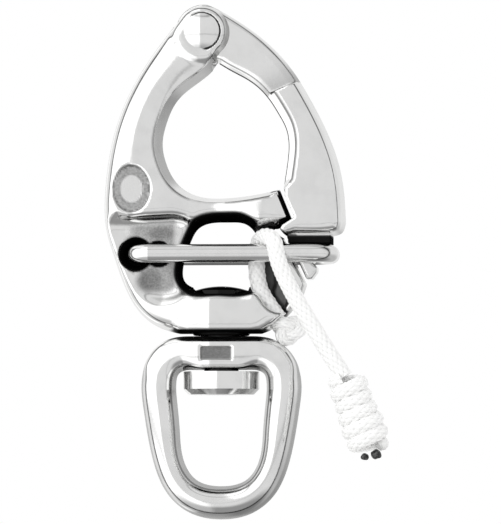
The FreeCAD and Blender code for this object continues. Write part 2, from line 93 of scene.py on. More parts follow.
class Outline:
    """A closed outline of stretches (kind, draft, rounding, points), each from where the one before ends.

    Points are STEP apart. Draft and rounding are eased over BLEND runs each way. A table with cells of size
    CELL, up to REACH beyond the outline, holds the nearest run, and is filled for AT_ONCE cells at a time.
    """

    STEP = 0.3
    CELL = 0.5
    REACH = 7.0
    BLEND = 5
    AT_ONCE = 2000

    def __init__(self, *stretches):
        points, draft, rounding = [], [], []
        for kind, lean, soft, through in stretches:
            piece = self.straight(through) if kind == "line" else spline(through, kind == "loop", self.STEP)
            points.append(piece)
            draft += [lean] * len(piece)
            rounding += [soft] * len(piece)
        self.start = np.vstack(points)
        end = np.roll(self.start, -1, axis=0)
        self.run = end - self.start
        self.length = np.maximum(np.linalg.norm(self.run, axis=1), SMALL)
        area = np.sum(self.start[:, 0] * end[:, 1] - end[:, 0] * self.start[:, 1])
        side = 1.0 if area > 0 else -1.0
        self.normal = side * np.stack([self.run[:, 1], -self.run[:, 0]], 1) / self.length[:, None]
        corner = self.normal + np.roll(self.normal, 1, axis=0)
        self.corner = corner / np.maximum(np.linalg.norm(corner, axis=1, keepdims=True), SMALL)
        self.draft, self.rounding = self.blended(draft), self.blended(rounding)
        self.low = self.start.min(0) - self.REACH
        self.size = np.ceil((self.start.max(0) + self.REACH - self.low) / self.CELL).astype(int) + 1
        steps = [self.low[i] + self.CELL * np.arange(self.size[i]) for i in (0, 1)]
        gx, gz = np.meshgrid(*steps, indexing="ij")
        grid = np.stack([gx.ravel(), gz.ravel()], 1)
        everything = np.arange(len(self.start))
        nearest = [
            self.to_runs(part, np.broadcast_to(everything, (len(part), len(everything))))[0].argmin(1)
            for part in np.array_split(grid, max(1, len(grid) // self.AT_ONCE))
        ]
        self.table = np.concatenate(nearest).reshape(self.size)

    def straight(self, through):
        """Points about a step apart on the straight lines through the points, without the last one."""
        out = []
        for a, b in zip(through, through[1:]):
            a, b = np.array(a, float), np.array(b, float)
            parts = max(1, round(np.linalg.norm(b - a) / self.STEP))
            out += [a + (b - a) * i / parts for i in range(parts)]
        return np.array(out)

    def blended(self, values):
        """A value of each run, eased along the outline."""
        values = np.array(values, float)
        turned = [np.roll(values, k) for k in range(-self.BLEND, self.BLEND + 1)]
        return sum(turned) / len(turned)

    def to_runs(self, q, runs):
        """Distance from each point to each of its candidate runs, and how far along the run the foot is."""
        start, run = self.start[runs], self.run[runs]
        away = q[:, None, :] - start
        along = np.clip((away * run).sum(2) / self.length[runs] ** 2, 0, 1)
        return np.linalg.norm(away - along[..., None] * run, axis=2), along

    def measure(self, x, z):
        """Signed distance, negative inside, with the draft and the rounding of the nearest stretch."""
        x, z = np.broadcast_arrays(x, z)
        shape = x.shape
        q = np.stack([x.ravel(), z.ravel()], 1)
        cell = np.clip(((q - self.low) / self.CELL).astype(int), 0, self.size - 2)
        count = len(self.start)
        found = []
        for dx in (0, 1):
            for dz in (0, 1):
                near = self.table[cell[:, 0] + dx, cell[:, 1] + dz]
                found += [(near + k) % count for k in (-1, 0, 1)]
        runs = np.stack(found, 1)
        gap, along = self.to_runs(q, runs)
        best = gap.argmin(1)
        row = np.arange(len(q))
        run, t, gap = runs[row, best], along[row, best], gap[row, best]
        foot = self.start[run] + t[:, None] * self.run[run]
        outward = self.normal[run].copy()
        outward[t <= 0] = self.corner[run[t <= 0]]
        outward[t >= 1] = self.corner[(run[t >= 1] + 1) % count]
        sign = np.where(((q - foot) * outward).sum(1) > 0, 1.0, -1.0)
        return (sign * gap).reshape(shape), self.draft[run].reshape(shape), self.rounding[run].reshape(shape)


def both(a, b, soft):
    """Where both solids are, with a rounded edge."""
    edge = np.maximum(soft - np.abs(a - b), 0)
    return np.maximum(a, b) + edge * edge / (4 * np.maximum(soft, SMALL))


def either(a, b, soft):
    """Where either solid is, with a rounded inner corner."""
    return -both(-a, -b, soft)


def without(a, b, soft):
    return both(a, -b, soft)


def ease(x, first, last):
    """0 up to first, 1 from last on, and smooth between."""
    t = np.clip((x - first) / (last - first), 0, 1)
    return t * t * (3 - 2 * t)


def surface(name, field, low, high, step, settle=2):
    """A closed mesh of the surface where the field is 0, with one point in each grid cell that it crosses."""
    axes = [np.arange(low[i], high[i] + step, step) for i in range(3)]
    grid = np.meshgrid(*axes, indexing="ij", sparse=True)
    value = np.broadcast_to(field(*grid), [len(a) for a in axes])
    shape = np.array(value.shape)
    total, hits = np.zeros((*(shape - 1), 3)), np.zeros(shape - 1)
    quads = []
    index = np.arange(np.prod(shape - 1)).reshape(shape - 1)
    for axis in range(3):
        one = [slice(None)] * 3
        two = [slice(None)] * 3
        one[axis], two[axis] = slice(0, -1), slice(1, None)
        a, b = value[tuple(one)], value[tuple(two)]
        cell = np.argwhere((a < 0) != (b < 0))
        fa, fb = a[tuple(cell.T)], b[tuple(cell.T)]
        place = cell.astype(float)
        place[:, axis] += fa / (fa - fb)
        u, v = (axis + 1) % 3, (axis + 2) % 3
        corners = []
        for du, dv in ((0, 0), (-1, 0), (-1, -1), (0, -1)):
            owner = cell.copy()
            owner[:, u] += du
            owner[:, v] += dv
            np.add.at(total, tuple(owner.T), place)
            np.add.at(hits, tuple(owner.T), 1)
            corners.append(index[tuple(owner.T)])
        quad = np.stack(corners, 1)
        quads.append(np.where((fa < 0)[:, None], quad, quad[:, ::-1]))
    quads = np.vstack(quads)
    used, quads = np.unique(quads, return_inverse=True)
    quads = quads.reshape(-1, 4)
    where = np.unravel_index(used, shape - 1)
    points = total[where] / hits[where][:, None] * step + np.array(low)
    for _ in range(settle):
        points -= pull(field, points, step)
    return mesh_object(name, points * MM, quads)


def pull(field, points, step):
    """The move that brings each point onto the surface, at most half a step."""
    reach = 0.02
    here = field(*points.T)
    slope = np.stack([field(*(points + reach * np.eye(3)[i]).T) - here for i in range(3)], 1) / reach
    move = slope * (here / np.maximum((slope**2).sum(1), 0.2))[:, None]
    far = np.linalg.norm(move, axis=1, keepdims=True)
    return move * np.minimum(1, step / 2 / np.maximum(far, SMALL))


def mesh_object(name, points, faces):
    mesh = bpy.data.meshes.new(name)
    mesh.vertices.add(len(points))
    mesh.vertices.foreach_set("co", np.asarray(points, np.float32).ravel())
    sides = faces.shape[1]
    mesh.loops.add(faces.size)
    mesh.loops.foreach_set("vertex_index", faces.astype(np.int32).ravel())
    mesh.polygons.add(len(faces))
    mesh.polygons.foreach_set("loop_start", np.arange(0, faces.size, sides, dtype=np.int32))
    mesh.polygons.foreach_set("use_smooth", np.ones(len(faces), bool))
    mesh.update(calc_edges=True)
    mesh.validate()
    made = bpy.data.objects.new(name, mesh)
    bpy.context.scene.collection.objects.link(made)
    return made


def facing(piece):
    """The vertex normals, as x, y and z."""
    way = np.zeros(len(piece.data.vertices) * 3)
    piece.data.vertices.foreach_get("normal", way)
    return way.reshape(-1, 3).T


def paint(piece, name, values):
    """A number for each vertex, which the material reads."""
    layer = piece.data.attributes.new(name, "FLOAT", "POINT")
    layer.data.foreach_set("value", np.asarray(values, np.float32))


def places(piece):
    """The piece's vertices in mm, as x, y and z."""
    co = np.zeros(len(piece.data.vertices) * 3)
    piece.data.vertices.foreach_get("co", co)
    return co.reshape(-1, 3).T / MM


# ---------------------------------------------------------------- the forged body

# The gate rivet's axis, the body's faces and the floor of its pockets, from the middle plane.
HINGE = (-2.95, 6.5)
FACE = 6.25
WEB = 3.9
# The slot for the gate's eye, the rivet's hole and the fine groove round its head.
SLOT_HALF = 3.15
SLOT_RADIUS = 5.4
RIVET_HOLE = 1.9
RIVET_GROOVE = 3.1
GROOVE_HALF = 0.17
GROOVE_FLOOR = 5.85
# The trigger's bores, each with the side that it opens to, their countersinks and the dimple on the far side.
LEVEL = -32.3
BORES = ((-14.7, -1), (-10.7, 1))
BORE_RADIUS = 2.15
BORE_END = -0.25
SINK_RADIUS = 3.0
SINK_FLOOR = 2.3
DIMPLE_FLOOR = 3.1
# The swivel pin's hole with the seat for its head, and the boss under the body.
PIN_HOLE = 3.06
PIN_HOLE_TOP = -36.0
SEAT_RADIUS = 4.86
SEAT_LEVEL = -39.6
BOSS_RADIUS = 4.9
BOSS_HALF = 0.5
UNDERSIDE = -46.0
# The lanyard's hole, and the floors of the channel and the cavity that it lies in.
CORD_HOLE = 1.8
CHANNEL_FLOOR = 0.85
CAVITY_FLOOR = 1.5

BODY = Outline(
    ("line", 0.15, 1.4, arc(HINGE, 5.1, -49, 140)),
    ("curve", 0.16, 2.2, [
        arc(HINGE, 5.1, 140, 140)[0], (-9.0, 7.0), (-12.5, 2.3), (-16.0, -3.5), (-18.3, -9.0),
        (-19.9, -15.8), (-20.55, -22.0), (-20.3, -27.8), (-18.9, -32.6), (-16.3, -39.4),
        (-13.9, -42.9), (-10.6, -45.2), (-7.2, -46.2),
    ]),
    ("line", 0.05, 1.2, [(-7.2, -46.2), (7.1, -46.2)]),
    ("curve", 0.1, 1.6, [(7.1, -46.2), (8.6, -45.6), (12.5, -42.2), (14.2, -39.9), (15.05, -37.6)]),
    ("line", 0.05, 0.7, [
        (15.05, -37.6), (14.7, -36.9), (11.05, -29.5), (8.9, -27.9), (9.9, -27.85), (12.4, -26.2),
        (10.25, -20.95),
    ]),
    ("curve", 0.17, 0.5, [
        (10.25, -20.95), (5.0, -22.0), (1.8, -22.35), (-2.9, -22.3), (-5.8, -21.35), (-8.1, -19.4),
        (-9.6, -16.6), (-10.35, -12.8), (-9.6, -9.1), (-7.7, -5.25), (-4.4, -2.4), (-1.2, 0.3),
        arc(HINGE, 5.1, -49, -49)[0],
    ]),
)
WINDOW = Outline(("loop", 0.2, 1.3, [
    (-1.2, -26.75), (-3.9, -27.7), (-5.4, -30.2), (-6.6, -34.0), (-6.4, -37.0), (-4.2, -38.25), (0.0, -38.3),
    (4.4, -38.2), (6.6, -36.6), (6.7, -33.0), (6.3, -29.3), (4.2, -27.0), (1.4, -26.7),
]))
POCKETS = Outline(
    ("line", 0.45, 0.8, [(-17.4, -26.75), (-8.0, -26.3)]),
    ("curve", 0.45, 0.8, [(-8.0, -26.3), (-6.2, -26.6), (-4.0, -28.2)]),
    ("line", 0.45, 0.8, [(-4.0, -28.2), (8.2, -27.6), (17.5, -27.6), (17.5, -42.9), (12.4, -42.9)]),
    ("line", 0.3, 0.8, [(12.4, -42.9), (10.2, -41.6), (6.8, -38.6), (0.0, -36.4), (-5.0, -36.6)]),
    ("curve", 0.85, 0.8, [
        (-5.0, -36.6), (-6.6, -38.4), (-8.8, -39.5), (-11.6, -39.5), (-13.1, -38.6), (-14.3, -36.2),
        (-15.8, -33.2), (-17.6, -30.2), (-18.6, -28.9), (-18.5, -27.5), (-17.4, -26.75),
    ]),
)
CHANNEL = Outline(("line", 0.0, 0.6, [
    (4.6, -27.5), (4.6, -38.7), (8.9, -39.6), (9.6, -37.5), (9.6, -27.5), (4.6, -27.5),
]))
CAVITY = Outline(("curve", 0.0, 0.9, [
    (7.4, -39.2), (8.6, -41.2), (10.3, -42.0), (11.6, -41.0), (11.7, -38.0), (11.0, -35.6),
]), ("line", 0.0, 0.9, [(11.0, -35.6), (7.6, -35.2), (7.4, -39.2)]))
STOPPER = np.array([11.8, -2.45, -45.6])
HOLE_TOP = np.array([8.45, -2.45, -41.1])
# The oval mark: its middle, its half width and half height, and its depth.
MARK = (-15.3, -21.0, 3.3, 4.1)
MARK_DEEP = 0.5


def rod_void(x, y, z, foot, head, radius):
    """A round bore from beyond the foot up to the head."""
    way = (head - foot) / np.linalg.norm(head - foot)
    at = np.stack(np.broadcast_arrays(x - foot[0], y - foot[1], z - foot[2]), -1)
    along = at @ way
    off = np.sqrt(np.maximum((at**2).sum(-1) - along**2, 0))
    return np.maximum(off - radius, along - np.linalg.norm(head - foot) - 1.0)


def mark_share(x, z):
    """0 in the middle of the oval mark, 1 on its outline."""
    return np.hypot((x - MARK[0]) / MARK[2], (z - MARK[1]) / MARK[3])


def mark_void(x, y, z):
    """A plain oval recess with a plain raised island."""
    around = mark_share(x, z)
    island = around * 1.7
    hollow = np.maximum((around - 1) * MARK[2], y + FACE - MARK_DEEP)
    return np.maximum(hollow, np.minimum((1 - island) * MARK[2] * 0.6, 0.12 - y - FACE))


def body_field(x, y, z):
    """The crowned forging, less its pockets, window, slot, channel, cavity, bores, pin hole and mark."""
    a = np.abs(y)
    outer, draft, soft = BODY.measure(x, z)
    hole, lean, rim = WINDOW.measure(x, z)
    ring = np.hypot(x - HINGE[0], z - HINGE[1])
    depth = np.maximum(outer, -hole)
    arm = ease(z, -24.0, -18.0)
    fall = (0.2 + 0.5 * arm) * np.clip(1 + depth / 5.0, 0, 1) ** 2 * (1 - 0.8 * ease(-ring, -6.0, -4.6))
    fall = fall + 0.35 * ease(ring, 4.4, 5.8) * ease(z, -16.0, 0.0)
    block = ease(-z, 35.0, 40.0)
    fall = fall + block * (0.065 * np.maximum(-1.6 - x, 0) + 0.012 * np.maximum(x + 1.6, 0))
    bar = ease(z, -29.5, -27.0) * ease(-z, 20.5, 23.5)
    ramp = 0.6 * (1 - ease(x, -2.2, 7.8)) * ease(x, -9.0, -4.0) + 0.35 * np.clip((x - 7.8) / 4.0, 0, 1)
    fall = fall + bar * ramp
    soft = np.where((x < -3) & (z > -8) & (draft < 0.165), 1.4 + 0.8 * ease(ring, 5.0, 10.0), soft)
    f = both(outer + draft * a, a - (FACE - fall), soft)
    pocket, flare, _ = POCKETS.measure(x, z)
    f = without(f, both(pocket - flare * (a - WEB), WEB - a, 1.6), 1.1)
    f = without(f, hole - lean * a, rim)
    right = np.maximum(np.maximum(-1.2 - z, -x - 1.5), x - 9)
    slot = np.maximum(np.minimum(ring - SLOT_RADIUS, right), a - SLOT_HALF)
    f = without(f, slot, 0.15)
    channel, _, edge = CHANNEL.measure(x, z)
    f = without(f, both(channel, y + CHANNEL_FLOOR, 0.8), edge)
    cavity, _, edge = CAVITY.measure(x, z)
    f = without(f, both(cavity - 0.15 * (-y - CAVITY_FLOOR), y + CAVITY_FLOOR, 0.8), edge)
    f = without(f, rod_void(x, y, z, STOPPER, HOLE_TOP, CORD_HOLE), 0.8)
    for bore, side in BORES:
        off = np.hypot(x - bore, z - LEVEL)
        out = side * y
        sink = np.maximum(off - SINK_RADIUS + 0.5 * np.maximum(WEB - out, 0), SINK_FLOOR - out)
        blind = np.maximum(off - BORE_RADIUS, BORE_END - out)
        dimple = np.maximum(off - BORE_RADIUS, DIMPLE_FLOOR + out)
        f = without(f, np.minimum(np.minimum(blind, sink), dimple), 0.2)
    f = without(f, ring - RIVET_HOLE, 0.1)
    left = ease(-(x - HINGE[0]) - 0.36 * (z - HINGE[1]), -0.2, 1.8)
    groove = np.abs(ring - RIVET_GROOVE) - GROOVE_HALF
    f = without(f, np.maximum(groove, GROOVE_FLOOR + 0.4 * left - a), 0.12)
    axle = np.hypot(x, y)
    seat = np.maximum(axle - SEAT_RADIUS, SEAT_LEVEL - z)
    f = without(f, np.maximum(np.minimum(axle - PIN_HOLE, seat), z - PIN_HOLE_TOP), 0.1)
    boss = np.maximum(np.maximum(axle - BOSS_RADIUS, PIN_HOLE - axle), np.abs(z - UNDERSIDE) - BOSS_HALF)
    f = either(f, boss, 0.1)
    return without(f, mark_void(x, y, z), 0.3)


def body_paint(piece):
    """How matt the forging is, and its painted shade: matt in the pockets and the mark, painted shade in its
    holes and channels, on the window's flanks, nose and bottom, and a little on the inner flank and along the
    jaw's edge."""
    x, y, z = places(piece)
    a = np.abs(y)
    way = facing(piece)
    pocket, flare, _ = POCKETS.measure(x, z)
    hole, lean, _ = WINDOW.measure(x, z)
    channel, _, _ = CHANNEL.measure(x, z)
    cavity, _, _ = CAVITY.measure(x, z)
    outer, draft, _ = BODY.measure(x, z)
    # Painted shade: the window's flanks are painted near-black.
    dark = ease(-(hole - lean * a), -0.75, -0.35) * (1 - ease(a, 5.6, 6.1))
    floor = ease(-(pocket - flare * (a - WEB)), 0.2, 1.2) * ease(-a, -4.6, -4.1) * ease(a, 3.2, 3.6)
    matt = floor * ease(x, -17.2, -14.5) * (1 - ease(x, -8.4, -7.4))
    # Painted shade in the bores and, on their open side, in the countersinks.
    for bore, side in BORES:
        off = np.hypot(x - bore, z - LEVEL)
        dark = np.maximum(dark, (1 - ease(off, 2.85, 3.1)) * ease(-side * y, -5.9, -5.4) * (side * y > 0))
        dark = np.maximum(dark, 1 - ease(off, 2.2, 2.4))
    inner = ease(y, -3.4, -2.4)
    # Painted shade in the lanyard's channel, cavity and hole.
    dark = np.maximum(dark, (1 - ease(channel, -0.1, 0.25)) * inner * 0.9)
    dark = np.maximum(dark, (1 - ease(cavity, -0.1, 0.3)) * ease(y, -4.8, -3.0) * 0.85)
    dark = np.maximum(dark, (1 - ease(rod_void(x, y, z, STOPPER, HOLE_TOP, CORD_HOLE), 0.1, 0.4)) * 0.9)
    # Painted shade in the groove round the rivet's head.
    ring = np.abs(np.hypot(x - HINGE[0], z - HINGE[1]) - RIVET_GROOVE)
    dark = np.maximum(dark, (1 - ease(ring, 0.12, 0.2)) * ease(-a, -6.15, -6.0) * ease(a, 5.0, 5.5))
    # Painted shade on the nose.
    nose = ease(x, 8.5, 9.3) * ease(z, -28.3, -27.9) * (1 - ease(z, -21.4, -21.0))
    dark = np.maximum(dark, nose * (outer > -0.35) * (a < 5.9))
    # Painted shade on the body's bottom, in the gap above the bail.
    dark = np.maximum(dark, ease(-z, 45.3, 45.6) * (1 - ease(np.abs(x), 7.0, 9.5)))
    # Painted shade on the inner flank that faces the gate, and a painted dark line along the jaw's edge.
    flank = ease(way[0], 0.6, 0.85) * (hole > 0.5) * (x < 9.0) * (z > -24.0) * (1 - ease(a, 5.7, 6.0))
    dark = np.maximum(dark, flank * 0.3)
    edge = (draft > 0.165) * ease(a, 5.45, 5.7) * ease(outer + draft * a, -0.5, -0.15) * (a < 6.2)
    dark = np.maximum(dark, edge * 0.6)
    # Painted shade deep in the two pockets, over their matt floor.
    for cx, cz, wide, high in ((-10.2, -28.7, 3.0, 1.3), (-12.2, -37.0, 2.6, 2.4)):
        spot = 1 - ease(np.hypot((x - cx) / wide, (z - cz) / high), 0.45, 1.15)
        deep = ease(a, 3.2, 3.6) * ease(-a, -6.1, -5.5)
        matt = np.maximum(matt, spot * deep)
        dark = np.maximum(dark, 0.3 * spot * deep)
    mark = mark_share(x, z)
    here = (y < -FACE + 1.2) & (y > -FACE - 0.1)
    sunk = (1 - ease(mark, 0.9, 1.02)) * ease(mark, 0.58, 0.66)
    matt = np.maximum(matt, sunk * here)
    # Painted dark lines round the mark's island and along its rim, where shade falls.
    dark = np.maximum(dark, (1 - ease(np.abs(mark - 0.61), 0.02, 0.06)) * here * 0.4)
    rim = (1 - ease(np.abs(mark - 0.97), 0.02, 0.07)) * ease(y, -FACE + 0.15, -FACE + 0.5)
    dark = np.maximum(dark, rim * here * 0.7)
    paint(piece, "matt", matt)
    paint(piece, "dark", dark)


# ---------------------------------------------------------------- the gate

GATE = Outline(
    ("curve", 0.26, 0.6, [
        arc(HINGE, 4.9, -72, -72)[0], (1.5, 0.0), (5.5, -2.3), (8.15, -4.9), (10.1, -7.9), (11.35, -10.4),
        (11.8, -13.3), (11.5, -16.8), (10.9, -20.8),
    ]),
    ("line", 0.0, 0.15, [(10.9, -20.8), (13.25, -26.05), (11.2, -27.35)]),
    ("curve", 0.0, 0.3, [(11.2, -27.35), (10.7, -28.3), (11.5, -29.1)]),
    ("line", 0.1, 1.4, [(11.5, -29.1), (19.4, -29.2)]),
    ("curve", 0.12, 1.6, [(19.4, -29.2), (21.2, -28.6), (21.85, -26.9)]),
    ("curve", 0.12, 1.8, [
        (21.85, -26.9), (21.6, -22.4), (20.8, -17.3), (19.55, -13.3), (17.55, -8.75), (15.5, -4.9),
        (12.74, -0.4), (9.36, 3.6), (4.1, 7.9), arc(HINGE, 4.9, 60, 60)[0],
    ]),
    ("line", 0.0, 0.4, arc(HINGE, 4.9, 60, 288)),
)
TONGUE = Outline(("line", 0.0, 0.5, [
    (11.6, -28.4), (11.7, -29.5), (15.1, -36.75), (16.0, -36.65), (16.85, -35.5), (16.95, -34.7),
    (16.2, -33.9), (17.0, -33.2), (17.1, -28.4), (11.6, -28.4),
]))
# The neck's direction and the shoulder where it meets the gate's full thickness, along it from the hinge.
NECK_TURN = math.radians(66.5)
NECK = (math.cos(NECK_TURN), -math.sin(NECK_TURN))
NECK_STEP = 14.7
EYE_HALF = 3.05
GATE_HALF = 6.2
GATE_HOLE = 1.95
TONGUE_HALF = 2.6
# The lip under the gate: its middle, half width and half height.
LIP = (15.7, -29.6, 3.7, 0.95)
LIP_HALF = 4.6


def along_neck(x, z):
    """Distance from the hinge along the neck."""
    return (x - HINGE[0]) * NECK[0] + (z - HINGE[1]) * NECK[1]


def gate_field(x, y, z):
    """The gate with its thin neck and eye, the tongue that the trigger holds and the lip under it."""
    a = np.abs(y)
    outer, draft, soft = GATE.measure(x, z)
    u = along_neck(x, z)
    half = EYE_HALF + 0.15 * ease(u, 6.0, 13.0) + (GATE_HALF - EYE_HALF - 0.15) * ease(u, 14.45, 14.85)
    fall = (0.03 + 0.3 * ease(x, 15.5, 21.5)) * np.clip(1 + outer / 3.5, 0, 1) ** 2 * ease(u, 12.0, 15.5)
    f = both(outer + draft * a, a - (half - fall), np.where(u < NECK_STEP, np.minimum(soft, 1.3), soft))
    latch, _, edge = TONGUE.measure(x, z)
    f = either(f, both(latch, a - TONGUE_HALF, edge), 0.2)
    lip = np.maximum(np.abs(x - LIP[0]) - LIP[2], np.abs(z - LIP[1]) - LIP[3])
    f = either(f, np.maximum(lip, a - LIP_HALF), 0.1)
    return without(f, np.hypot(x - HINGE[0], z - HINGE[1]) - GATE_HOLE, 0.1)


def gate_paint(piece):
    """Painted shade under the gate, in the notch for the nose, at the neck's shoulder and along the inner
    edges.

    The neck gets painted shade that deepens towards its shoulder, and a painted dark line runs along the
    gate's inner middle.
    """
    x, y, z = places(piece)
    a = np.abs(y)
    outer, draft, _ = GATE.measure(x, z)
    u = along_neck(x, z)
    # Painted shade under the gate and in the notch for the nose.
    under = ease(-z, 29.1, 29.3) * (1 - ease(-z, 30.7, 31.4)) * (a < 4.8)
    notch = (1 - ease(x, 13.3, 13.8)) * ease(-z, 20.9, 21.4) * (1 - ease(-z, 28.9, 29.3)) * (outer > -0.35)
    # Painted shade at the neck's shoulder and painted dark lines along the inner edges.
    shoulder = (np.abs(u - 14.68) < 0.24) * (a > 3.4) * (a < 6.1) * (x < 11.6) * (outer < -0.2)
    edge = (draft > 0.2) * (u > 14.9) * ease(a, 5.75, 6.05) * ease(outer + draft * a, -0.5, -0.15)
    # A painted dark line along the inner middle, where the inner edge lies in shade.
    middle = ease(y, -1.0, -0.6) * (1 - ease(y, 0.3, 0.6))
    painted_edge_line = (draft > 0.2) * (u > 6.0) * middle * ease(outer, -0.5, -0.25)
    # Painted shade on the neck, deepening towards its shoulder.
    painted_neck_shade = 0.3 * ease(u, 9.0, 14.6) * (u < NECK_STEP) * (a < 3.5)
    dark = np.maximum.reduce([under, notch * (a < 6.05), shoulder * 0.85, edge * 0.7, painted_edge_line * 0.8, painted_neck_shade])
    paint(piece, "matt", np.zeros(len(x)))
    paint(piece, "dark", dark)


# ---------------------------------------------------------------- the bail


def mirrored(right):
    """The loop whose right half is given, from its top to its bottom."""
    return right + [(-x, z) for x, z in reversed(right[1:-1])]


BAIL_OUT = Outline(("loop", 0.1, 2.6, mirrored([
    (0.0, -46.6), (4.5, -46.6), (8.3, -46.9), (10.9, -48.2), (13.0, -50.9), (14.0, -54.4), (13.7, -59.2),
    (12.9, -64.2), (11.8, -69.0), (9.4, -74.2), (5.2, -77.6), (0.0, -78.6),
])))
BAIL_IN = Outline(("loop", 0.22, 1.6, mirrored([
    (0.0, -52.5), (2.4, -52.5), (4.6, -52.5), (6.4, -52.6), (7.5, -53.2), (7.9, -54.5), (7.75, -58.2),
    (7.3, -63.2), (6.7, -68.0), (4.5, -71.6), (0.0, -72.8),
])))
BAIL_HALF = 4.6
BAIL_HOLE_END = -56.0
# The oblong recess: its middle, half width and half height, and its depth.
PLATE = (-0.6, -49.6, 2.7, 1.1)
PLATE_DEEP = 0.55


def bail_field(x, y, z):
    """A crowned loop, flatter at its top, with the swivel pin's hole and the oblong recess."""
    a = np.abs(y)
    outer, draft, soft = BAIL_OUT.measure(x, z)
    eye, lean, rim = BAIL_IN.measure(x, z)
    depth = np.maximum(outer, -eye)
    top = ease(z, -54.5, -51.0)
    fall = (0.9 - 0.5 * top) * np.clip(1 + depth / 3.2, 0, 1) ** 2
    fall = fall + top * (0.05 * np.maximum(-1.6 - x, 0) + 0.012 * np.maximum(x + 1.6, 0))
    f = both(outer + draft * (1 - 0.8 * top) * a, a - (BAIL_HALF - fall), soft * (1 - 0.4 * top))
    level = (1 - ease(np.abs(x), 3.0, 7.0)) * ease(z, -56.0, -53.5)
    f = without(f, eye - (lean - 0.17 * level) * a, rim - 0.8 * level)
    plate = np.maximum(np.abs(x - PLATE[0]) - PLATE[2], np.abs(z - PLATE[1]) - PLATE[3])
    f = without(f, np.maximum(plate, y + BAIL_HALF - PLATE_DEEP), 0.25)
    return without(f, np.maximum(np.hypot(x, y) - PIN_HOLE, BAIL_HOLE_END - z), 0.1)


def bail_paint(piece):
    """Painted shade in the swivel hole, on the top that faces the body, on the eye's wall and along its
    edges.
    """
    x, y, z = places(piece)
    a = np.abs(y)
    up = facing(piece)[2]
    eye, _, _ = BAIL_IN.measure(x, z)
    # Painted shade in the swivel hole and on the top, in the gap under the body.
    hole = (np.hypot(x, y) < 3.3) * (z < -46.8) * (z > -53.4)
    top = ease(z, -47.6, -47.1) * ease(up, 0.75, 0.92)
    # Painted shade on the eye's wall and painted dark lines along its edges.
    wall = (eye > -0.3) * (1 - ease(a, 2.4, 3.0))
    lower = 1 - ease(z, -54.5, -52.0)
    line = (1 - ease(np.abs(a - 2.95), 0.25, 0.5)) * (eye < 1.2)
    plate = np.maximum(np.abs(x - PLATE[0]) - PLATE[2], np.abs(z - PLATE[1]) - PLATE[3])
    # Painted shade in the oblong recess, whose floor is also matt.
    inside = (plate < -0.05) * (y < -3.5)
    dark = np.maximum.reduce([hole, top * 0.9, wall * 0.3, line * (0.2 + 0.4 * lower), inside * 0.45])
    paint(piece, "matt", inside * 0.9)
    paint(piece, "dark", dark)


# ---------------------------------------------------------------- the lanyard and its knots

LANYARD = [
    (10.35, -2.45, -43.65),
    (8.3, -2.6, -41.0),
    (6.35, -2.6, -37.4),
    (6.4, -2.6, -29.5),
    (9.9, -8.7, -29.4),
    (10.6, -8.95, -34.8),
    (16.4, -8.9, -45.2),
    (22.1, -8.6, -53.9),
]
CORD = 1.5
HANDLE_CORD = 1.4
STOPPER_CORD = 1.12
HANDLE_AXIS = np.array([0.351, 0.0, -0.936])


def route_points(route):
    """Points read from the NURBS spline whose control points the route gives, in mm."""
    curve = bpy.data.curves.new("route", "CURVE")
    curve.dimensions = "3D"
    line = curve.splines.new("NURBS")
    line.points.add(len(route) - 1)
    for point, place in zip(line.points, route):
        point.co = (*[c * MM for c in place], 1.0)
    line.order_u = 3
    line.use_endpoint_u = True
    line.resolution_u = 24
    holder = bpy.data.objects.new("route", curve)
    mesh = bpy.data.meshes.new_from_object(holder)
    points = np.array([v.co for v in mesh.vertices]) / MM
    bpy.data.objects.remove(holder)
    bpy.data.curves.remove(curve)
    bpy.data.meshes.remove(mesh)
    return points


def evenly(points, step, closed=False):
    """The same line with points a step apart."""
    if closed:
        points = np.vstack([points, points[:1]])
    length = np.concatenate([[0], np.cumsum(np.linalg.norm(np.diff(points, axis=0), axis=1))])
    parts = max(2, int(round(length[-1] / step)))
    at = np.linspace(0, length[-1], parts + 1)
    if closed:
        at = at[:-1]
    return np.stack([np.interp(at, length, points[:, i]) for i in range(3)], 1), at


def braid(turn, along, around, stitch):
    """Height from 0 to 1 of a plaited surface: two sets of strands that pass over and under in turn."""
    u = around * turn / (2 * np.pi) + along / stitch
    v = around * turn / (2 * np.pi) - along / stitch
    i, j = np.floor(u), np.floor(v)
    s, t = 2 * (u - i) - 1, 2 * (v - j) - 1
    over = (i + j) % 2 == 0
    across, length = np.where(over, s, t), np.where(over, t, s)
    return np.sqrt(np.maximum(1 - 0.9 * across**2, 0)) * (1 - 0.45 * length**2)


